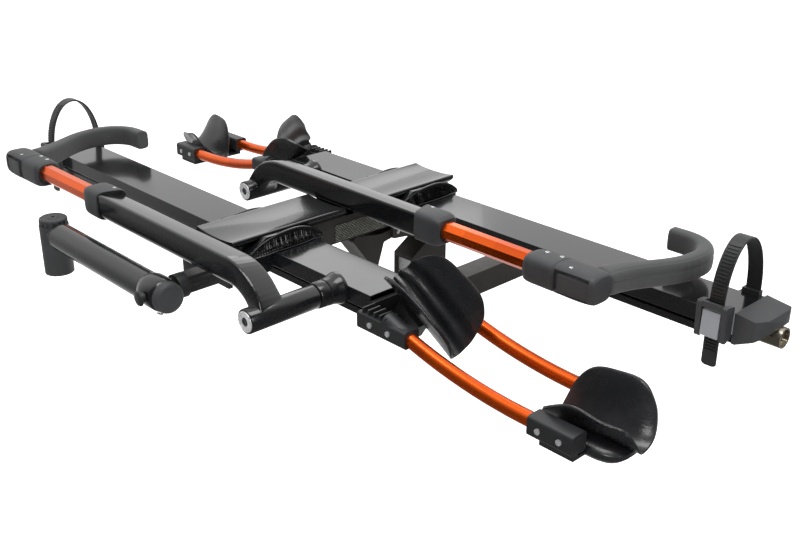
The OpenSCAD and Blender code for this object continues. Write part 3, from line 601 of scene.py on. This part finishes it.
def housing(n):
    """A soft-edged sleeve over the hook's tube, with a toothed mouth and a pocket for the trigger."""
    low, high, centre, wide, tall, length = sleeve("hook_housing")
    stops = ((0, 0.80), (0.6, 0.86), (2.5, 0.93), (7, 0.98), (16, 1), (length * 0.42, 1.01),
             (length * 0.43, 0.97), (length * 0.45, 0.97), (length * 0.46, 1.01), (length * 0.7, 1.03),
             (length - 22, 1.02), (length - 9, 0.985), (length - 3, 0.93), (length - 0.6, 0.85),
             (length, 0.78))
    outline = squircle(wide, tall, 3.6)
    bm = loft(bmesh.new(), [ring(outline, station((high.x - step, centre.y, centre.z), Y, Z), size, size)
                            for step, size in stops])
    closed(bm)
    pocket = [f for f in bm.faces if f.calc_center_median().y < low.y + 4
              and low.x + 12 < f.calc_center_median().x < low.x + length * 0.53
              and abs(f.calc_center_median().z - centre.z) < tall * 0.72]
    bmesh.ops.inset_region(bm, faces=pocket, thickness=1.2, depth=-5)
    unit_piece("hook_housing_shell", n, bm, "hook_housing", sharp=40)
    teeth = crown((high.x, centre.y, centre.z), 18.4, (3, 2.8, 3.4), 22)
    unit_piece("hook_housing_teeth", n, teeth, "hook_housing", replace=False, slot="moulded")
    pins = [facing((high.x - length * along, centre.y + wide * side, high.z - 1.2), Z)
            for along, side in ((0.16, 0.4), (0.36, 0.45), (0.62, -0.42))]
    unit_piece("hook_housing_pins", n, button_heads(bmesh.new(), pins, 3.4), "hook_housing", replace=False,
               slot="screw")


# ---- wheel cups ----

CUP_WALL = 3.8
CUP_TWIST = 0.5

# place is the lowest point of a cup's valley, and tilt leans it along u, in degrees. The cup is length
# long, half wide to each side, and tall and low high at its two flanks. shares are the tall flank's
# heights at its ends, flutes is the depth of the creases, and wave that of the low rim's ripple.
CUPS = {
    "inner_cup": {"place": (366, 0, -27), "tilt": 33, "length": 150, "tall": 92, "shares": (0.6, 0.88),
                  "half": 41, "low": 48, "flutes": 2.0, "wave": 2.0},
    "outer_cup": {"place": (687, 0, -75), "tilt": -2, "length": 132, "tall": 76, "shares": (0.45, 0.42),
                  "half": 50, "low": 48, "flutes": 0.0, "wave": 5.0},
}


def cup_point(form, a, t, drop):
    """A point of a cup, drop mm under its skin. a runs along its valley and t from its low flank's rim to
    its tall one's, both from -1 to 1."""
    a, t = a * math.sqrt(1 - 0.34 * t ** 4), t * math.sqrt(1 - 0.24 * a ** 4)
    rim = 1 - (1 - form["shares"][0 if a < 0 else 1]) * abs(a) ** 4
    narrow = 1 - CUP_TWIST * (1 - math.copysign(a, a * t)) / 2 if t else 1
    low = form["low"] * (0.7 + 0.3 * math.sqrt(max(0, 1 - 0.8 * abs(a) ** 3)))
    if t > 0:
        side, height = (form["half"] - 6) * t + 6 * t * t, form["tall"] * rim * t ** 1.7
    else:
        side, height = form["half"] * t, low * (-t) ** 1.5 + form["wave"] * math.sin(4.6 * a + 2.4) * t ** 4
    fade = max(0, 0.9 - 0.6 * a) * math.sin(math.pi * min(1, max(0, (t - 0.05) / 0.9)))
    flute = form["flutes"] * fade * math.cos(math.tau * 3.4 * t + 0.8 * a)
    lip = 2.0 * max(0, (abs(t) - 0.9) / 0.1) ** 2
    end = 1 + 0.012 * max(0, (abs(a) - 0.94) / 0.06) ** 2
    return Vector((a * end * form["length"] / 2 * (1 + 0.06 * abs(t)),
                   side * narrow + drop * t * 0.9 + math.copysign(lip, t) + flute,
                   height - drop - 0.6 * flute))


def wheel_cup(n, which):
    """A wheel's cup: a sheet with a wall's thickness, shaped point by point and set on its clips."""
    form = CUPS[which]
    bm = bmesh.new()
    bmesh.ops.create_grid(bm, x_segments=36, y_segments=48, size=1)
    under = bmesh.ops.extrude_face_region(bm, geom=bm.faces[:])["geom"]
    for v in under:
        if isinstance(v, bmesh.types.BMVert):
            v.co.z = -CUP_WALL
    for v in bm.verts:
        v.co = cup_point(form, math.sin(v.co.x * math.pi / 2), v.co.y, -v.co.z)
    bmesh.ops.transform(bm, verts=bm.verts, matrix=Matrix.Translation(form["place"])
                        @ Matrix.Rotation(math.radians(form["tilt"]), 4, "Y"))
    smooth(unit_piece(which + "_shell", n, closed(bm), which, sharp=80), 1)


FOOT_STOPS = ((-92, 0.72), (-90, 0.86), (-84, 0.97), (-76, 1), (-70, 0.9))
CLIP_RIBS = (312, 324, 336, 348, 360)


def cup_feet(n):
    """The bulged foot under the outer cup, and the ribs on the clips beside the inner one."""
    low, high = span("outer_cup")
    outline = squircle((high.x - low.x) * 0.40, 40, 3.2)
    foot_u = CUPS["outer_cup"]["place"][0]
    rings = [ring(outline, station((foot_u, 0, w), X, Y), size, size) for w, size in FOOT_STOPS]
    unit_piece("outer_cup_foot", n, closed(loft(bmesh.new(), rings)), "outer_cup", replace=False, sharp=60)
    bm = bmesh.new()
    for side in (-1, 1):
        for u in CLIP_RIBS:
            v = sorted((side * 46, side * 70))
            slab(bm, (u, v[0], -16), (u + 3.2, v[1], -6))
    round_edges(unit_piece("cradle_clip_ribs", n, bm, "cradle_clips", replace=False), 0.8)


# ---- wheel strap ----

TOOTH_PITCH = 5.2
ARCH_STEPS = 36
STRAP_OUTLINE = [
    (-1.6, -11), (-0.9, -12), (0.9, -12), (1.6, -11), (1.6, 11), (0.9, 12), (-0.9, 12), (-1.6, 11),
]


def strap_line():
    """The strap's middle line: up the near leg, over an arch, and down to its anchor."""
    low, high = span("strap")
    side = (high.y - low.y) / 2 - 2
    rise = high.z - 8
    points = [Vector((0, low.y + 1.6, low.z + 4 + i * 8)) for i in range(int((4 - low.z) // 8) + 1)]
    for i in range(1, ARCH_STEPS):
        turn = math.pi * (1 - i / ARCH_STEPS)
        points.append(Vector((0, (side - 1) * math.cos(turn), 8 + (rise - 1.6) * math.sin(turn))))
    return points + [Vector((0, side - 1, z)) for z in (6, 0, -8)]


def strap(n):
    """The wheel strap: a band with a rounded end and a foot on the tray, and teeth up its outer side."""
    low, high = span("strap")
    middle_u = (low.x + high.x) / 2
    shift = Matrix.Translation((middle_u, 0, 0))
    places = [shift @ place for place in stations_along(strap_line(), X)]
    end = [ring(STRAP_OUTLINE, places[0] @ Matrix.Translation((0, 0, -step)), 1, size)
           for step, size in ((4, 0.35), (3.6, 0.6), (2.6, 0.82), (1.2, 0.95))]
    bm = closed(loft(bmesh.new(), end + [ring(STRAP_OUTLINE, place) for place in places]))
    slab(bm, (low.x, high.y - 12, -20), (high.x, high.y, -2))
    slab(bm, (middle_u - 14, high.y - 12, -4), (middle_u + 14, high.y - 1, 7))
    round_edges(unit_piece("strap_band", n, bm, "strap", sharp=30), 0.5, angle=50)
    bm = bmesh.new()
    travelled, following = 0.0, TOOTH_PITCH
    for before, after in zip(places[2:24], places[3:25]):
        run = (after.translation - before.translation).length
        while following <= travelled + run:
            place = before.lerp(after, (following - travelled) / run)
            out = -1 if (place @ Vector((1, 0, 0)) - place.translation).y > 0 else 1
            block(bm, place @ Matrix.Translation((out * 2.3, 0, 0)), (2.0, 18, 2.4))
            following += TOOTH_PITCH
        travelled += run
    unit_piece("strap_teeth", n, bm, "strap", replace=False)


# ---- hub ----

COVER_OUTLINE = [
    (37.5, 0), (40, 1.5), (46, 6), (51, 11), (52, 14), (51.8, 17), (50.6, 18), (48.6, 18.1), (46.6, 17.5),
    (34, 15.6), (18, 14.4), (0, 14),
]
COVER_DIP = (-540, -480)
DIP_FLOOR = 4.6


def cover():
    """The spine's dished cover, with thick rolled sides and a dip where the arm crosses it."""
    low, high = rack_span("spine_cover")
    outline = COVER_OUTLINE + [(-x, z) for x, z in reversed(COVER_OUTLINE[:-1])]
    a, b = COVER_DIP
    full = [low.y + 3, a - 60, a - 3, a, a + 2, a + 4, b - 4, b - 2, b, b + 3, b + 60, high.y - 3]
    stops = [(low.y, 0.985), (low.y + 0.8, 0.996), *((y, 1) for y in full), (high.y - 0.8, 0.996),
             (high.y, 0.985)]
    cut_down = {a + 2: 10, a + 4: DIP_FLOOR, b - 4: DIP_FLOOR, b - 2: 10}
    rings = []
    for y, size in stops:
        rings.append([Vector((x * size, y, low.z + min(z, cut_down.get(y, z)) * size)) for x, z in outline])
    rack_piece("spine_cover_pressing", closed(loft(bmesh.new(), rings)), "spine_cover", sharp=40)


def wing_scoops(n):
    """A fairing on each side of the hub: a raised rim and a lip on the tray, with a hollow lens between."""
    for side in (-1, 1):
        rings = []
        for i in range(33):
            share = -1 + i / 16
            arch = (1 - abs(share) ** 2.4) ** 0.85
            v = -10 + 76 * share
            top = 1.2 + 25 * arch + 1.5 * math.sin(math.pi * share)
            lip = 63.6 + 13 * arch
            foot = 0.2 - 5 * max(0, (abs(v) - 40) / 40)
            section = [(57, foot), (56.5, top * 0.9), (57.5, top + 0.3), (60, top + 0.9), (62.6, top + 0.2),
                       (63.1, top - 1), (61.8, max(foot + 1, top * 0.75 - 1)),
                       (61.6, max(foot + 0.8, top * 0.4 - 1)), (63 + (lip - 64) * 0.45, foot + 0.6),
                       (lip - 2.6, foot + 0.9), (lip - 1.4, foot + 2.6), (lip, foot + 2.2),
                       (lip + 0.8, foot)]
            rings.append([Vector((side * u, v, w)) for u, w in section])
        bm = closed(loft(bmesh.new(), rings))
        name = "wing_scoop_" + ("outer" if side > 0 else "inner")
        smooth(unit_piece(name, n, bm, "hub_wings", replace=False, sharp=80), 1)


# ---- work stand ----

FLARE_PROFILE = (
    (-3, 23.6), (0, 24.4), (4, 26), (10, 27), (23, 27.3), (36, 26.9), (42, 25.8), (44.6, 24), (44.6, 10),
    (-3, 10), (-3, 23.6),
)
END_CAP_PROFILE = (
    (43, 0), (43, 24.6), (53, 24.4), (56, 23.2), (57.6, 21), (57.4, 19.4), (56.8, 18.8), (56.8, 0),
)
KNOB_PROFILE = (
    (0, 0), (0, 23.6), (8.5, 24), (10.8, 23.2), (12.2, 21), (12.5, 18.6), (11.3, 17), (10.6, 12),
    (11.6, 9.6), (12.6, 8.6), (12.6, 3.4), (10.6, 3), (10.6, 0),
)
KNOB_STEM = ((-36, 0), (-36, 6), (0, 6), (0, 0))
GRIP_TURN = 12


def mast_end():
    """The mast's flared knuckle with its end cap and pin, and the fluted clamp knob on the mast's head."""
    low, high = rack_span("mast_knuckle")
    axis = (low + high) / 2
    at = facing((low.x, axis.y, axis.z), X)
    bm = lathe(bmesh.new(), FLARE_PROFILE, at, 72)
    rack_piece("mast_knuckle_flare", closed(bm), "mast_knuckle", sharp=40, slot="mast_coat")
    bm = lathe(bmesh.new(), END_CAP_PROFILE, at, 72)
    rack_piece("mast_end_cap", closed(bm), "mast_knuckle", replace=False, sharp=30, slot="cap")
    pin = facing((axis.x + 14, axis.y - 12, low.z + 3), (0.1, -0.45, -1))
    rack_piece("mast_underside_pin", button_heads(bmesh.new(), [pin], 5), "mast_knuckle", replace=False,
               slot="screw")
    low, high = rack_span("clamp_knob")
    at = facing(((low.x + high.x) / 2, (low.y + high.y) / 2, high.z - 12.7), Z)
    bm = closed(lathe(bmesh.new(), KNOB_PROFILE, at, 60))
    grips = []
    for face in bm.faces:
        out = (face.calc_center_median() - at.translation).xy
        on_rim = abs(face.normal.z) < 0.3 and out.length > 22.5
        if on_rim and int(math.degrees(math.atan2(*out)) // GRIP_TURN) % 2:
            grips.append(face)
    bmesh.ops.inset_individual(bm, faces=grips, thickness=0.5, depth=-0.9)
    lathe(bm, KNOB_STEM, at, 24)
    rack_piece("clamp_knob_grip", closed(bm), "clamp_knob", sharp=32)


DISC_PROFILE = (
    (0.9, 0), (0.9, 7), (0.2, 7.4), (0, 8), (0, 11.2), (0.5, 11.6), (0.5, 12.4), (0, 12.8), (0, 15),
    (0.5, 15.8), (1.4, 16), (2.4, 13.4), (5.5, 13.4), (5.5, 0),
)
DISC_SCREW_PROFILE = ((0.4, 0), (0.4, 3), (0.1, 3.6), (0.1, 5.8), (0.5, 6.4), (0.9, 6.6), (0.9, 0))


def end_disc(n):
    """The turned retaining disc on the arm's pivot, with a black socket screw in its middle."""
    low, high = span("arm_end_disc")
    at = facing(((low.x + high.x) / 2, low.y, (low.z + high.z) / 2), Y)
    bm = closed(lathe(bmesh.new(), DISC_PROFILE, at, 56))
    unit_piece("arm_retaining_disc", n, bm, "arm_end_disc", sharp=30)
    bm = closed(lathe(bmesh.new(), DISC_SCREW_PROFILE, at, 32))
    unit_piece("arm_disc_screw", n, bm, "arm_end_disc", replace=False, slot="moulded", sharp=30)


def mast_fixings():
    """The mast's pivot bolt, blackened, and the bright screws in its bracket."""
    low, high = rack_span("mast_screws")
    knuckle_low, knuckle_high = rack_span("mast_knuckle")
    x, z = (knuckle_low.x + knuckle_high.x) / 2 - 6, (knuckle_low.z + knuckle_high.z) / 2
    bm = lathe(bmesh.new(), [(0, 0), (0, 8), (1, 11), (2.4, 12), (4, 12), (4, 8), (high.y - low.y, 8),
                             (high.y - low.y, 0)], facing((x, low.y, z), Y), 40)
    rack_piece("mast_pivot_bolt", closed(bm), "mast_screws", slot="moulded")
    places = [facing((x + step, high.y - 47, z - 8), -Y) for step in (-38, -64)]
    rack_piece("mast_bracket_screws", button_heads(bmesh.new(), places, 4.4), "mast_screws", replace=False)


def trims():
    """Small plates: one in the neck's window, and one between each tray and its end cap."""
    neck_face = rack_span("neck")[0].y
    plate = slab(bmesh.new(), (-20, neck_face + 8, 39), (20, neck_face + 11, 104))
    rack_piece("neck_plate", plate, "neck", replace=False, slot="steel")
    cap_end = span("tray_end_cap")[1].x
    tray_low, tray_high = span("tray_panels")
    for n in UNITS:
        band = slab(bmesh.new(), (cap_end - 1, tray_low.y - 0.8, tray_low.z + 18),
                    (cap_end + 3, tray_high.y + 0.8, 0.9))
        round_edges(unit_piece("tray_end_band", n, band, "tray_end_cap", replace=False, slot="lever"), 0.8)


cover()
mast_end()
mast_fixings()
trims()
for n in UNITS:
    arm(n)
    end_disc(n)
    collar(n)
    hook(n)
    housing(n)
    wheel_cup(n, "inner_cup")
    wheel_cup(n, "outer_cup")
    cup_feet(n)
    strap(n)
    wing_scoops(n)

# The radius in mm that each CAD node's edges are rounded to.
SOFT_EDGES = {
    "stinger": 3, "neck": 3, "spine_tube": 4, "pivot_cheeks": 1, "foot_pedal": 1.5, "mast_bracket": 1.5,
    "mast_head": 2, "cam_knob": 1.5,
}
UNIT_SOFT_EDGES = {
    "tray_panels": 1.2, "hub_wings": 2, "tray_end_cap": 5, "buckle_base": 1.4, "buckle_lever": 1.6,
    "hook_tube": 0.6, "hook_trigger": 1.6, "cradle_clips": 3,
}
for node, width in SOFT_EDGES.items():
    soften(node, width)
for node, width in UNIT_SOFT_EDGES.items():
    for n in UNITS:
        soften(f"{node}_{n}", width)
for node, cad in frame["nodes"].items():
    cad.data.materials.clear()
    cad.data.materials.append(FINISH[SLOT[node]])

# ---- camera, light and floor ----

CAMERA_PLACE = (1.3289, -1.6331, 0.8856)
CAMERA_TURN = math.radians(46.22)
CAMERA_TILT = math.radians(66.63)
CAMERA_ROLL = math.radians(0.32)
CAMERA_LENS = 46.6
FLOOR_DROP = 0.45
BRIGHTEST_WAY = Vector((-0.65, 0.62, 0.44))


def make_camera():
    """A camera low over the cradle's corner of the outboard tray, looking along both trays."""
    data = bpy.data.cameras.new("camera")
    data.lens = CAMERA_LENS
    data.sensor_width = 36
    data.clip_end = 100
    camera = bpy.data.objects.new("camera", data)
    camera.matrix_world = (Matrix.Translation(CAMERA_PLACE) @ Matrix.Rotation(CAMERA_TURN, 4, "Z")
                           @ Matrix.Rotation(CAMERA_TILT, 4, "X") @ Matrix.Rotation(CAMERA_ROLL, 4, "Z"))
    bpy.context.scene.collection.objects.link(camera)
    bpy.context.scene.camera = camera


def softbox(name, place, target, size, power):
    """A large rectangular studio light that faces target."""
    data = bpy.data.lights.new(name, "AREA")
    data.shape = "RECTANGLE"
    data.size, data.size_y = size
    data.energy = power
    light = bpy.data.objects.new(name, data)
    light.location = place
    light.rotation_euler = (Vector(target) - Vector(place)).to_track_quat("-Z", "Y").to_euler()
    bpy.context.scene.collection.objects.link(light)


def studio_world():
    """A white room that is bright behind and above the rack and falls off to dark in front of it."""
    world = bpy.data.worlds.new("white_studio")
    world.use_nodes = True
    tree = world.node_tree
    way = add(tree, "TexCoord").outputs["Generated"]
    facing_back = add(tree, "VectorMath", {0: way, 1: BRIGHTEST_WAY}, operation="DOT_PRODUCT")
    glow = add(tree, "MapRange", {"Value": facing_back.outputs["Value"], "From Min": -0.1, "From Max": 0.55,
                                  "To Min": 0.1, "To Max": 1.05}, interpolation_type="SMOOTHSTEP")
    tree.links.new(glow.outputs[0], tree.nodes["Background"].inputs["Strength"])
    tree.nodes["Background"].inputs["Color"].default_value = linear("#ffffff")
    bpy.context.scene.world = world


def make_studio():
    """The lights, the white room and a pale paper floor some way under the rack."""
    bpy.context.scene.view_settings.view_transform = "Standard"
    centre = (cad_low + cad_high) / 2
    softbox("overhead_softbox", centre + Vector((0.5, -0.4, 2.6)), centre, (2.4, 1.2), 42)
    softbox("back_softbox", centre + Vector((-2.2, 2.0, 2.2)), centre, (1.2, 2.0), 9)
    softbox("front_fill", centre + Vector((1.6, -2.6, 2.6)), centre, (1.8, 0.5), 26)
    softbox("side_strip", centre + Vector((2.9, -0.4, 1.3)), centre, (0.5, 1.6), 12)
    studio_world()
    bm = bmesh.new()
    bmesh.ops.create_circle(bm, cap_ends=True, segments=96, radius=14)
    bmesh.ops.translate(bm, verts=bm.verts, vec=(0, 0, cad_low.z - FLOOR_DROP))
    mesh = bpy.data.meshes.new("floor")
    bm.to_mesh(mesh)
    bm.free()
    floor = bpy.data.objects.new("floor", mesh)
    mesh.materials.append(floor_paper())
    bpy.context.scene.collection.objects.link(floor)
    floor.visible_glossy = False


make_camera()
make_studio()
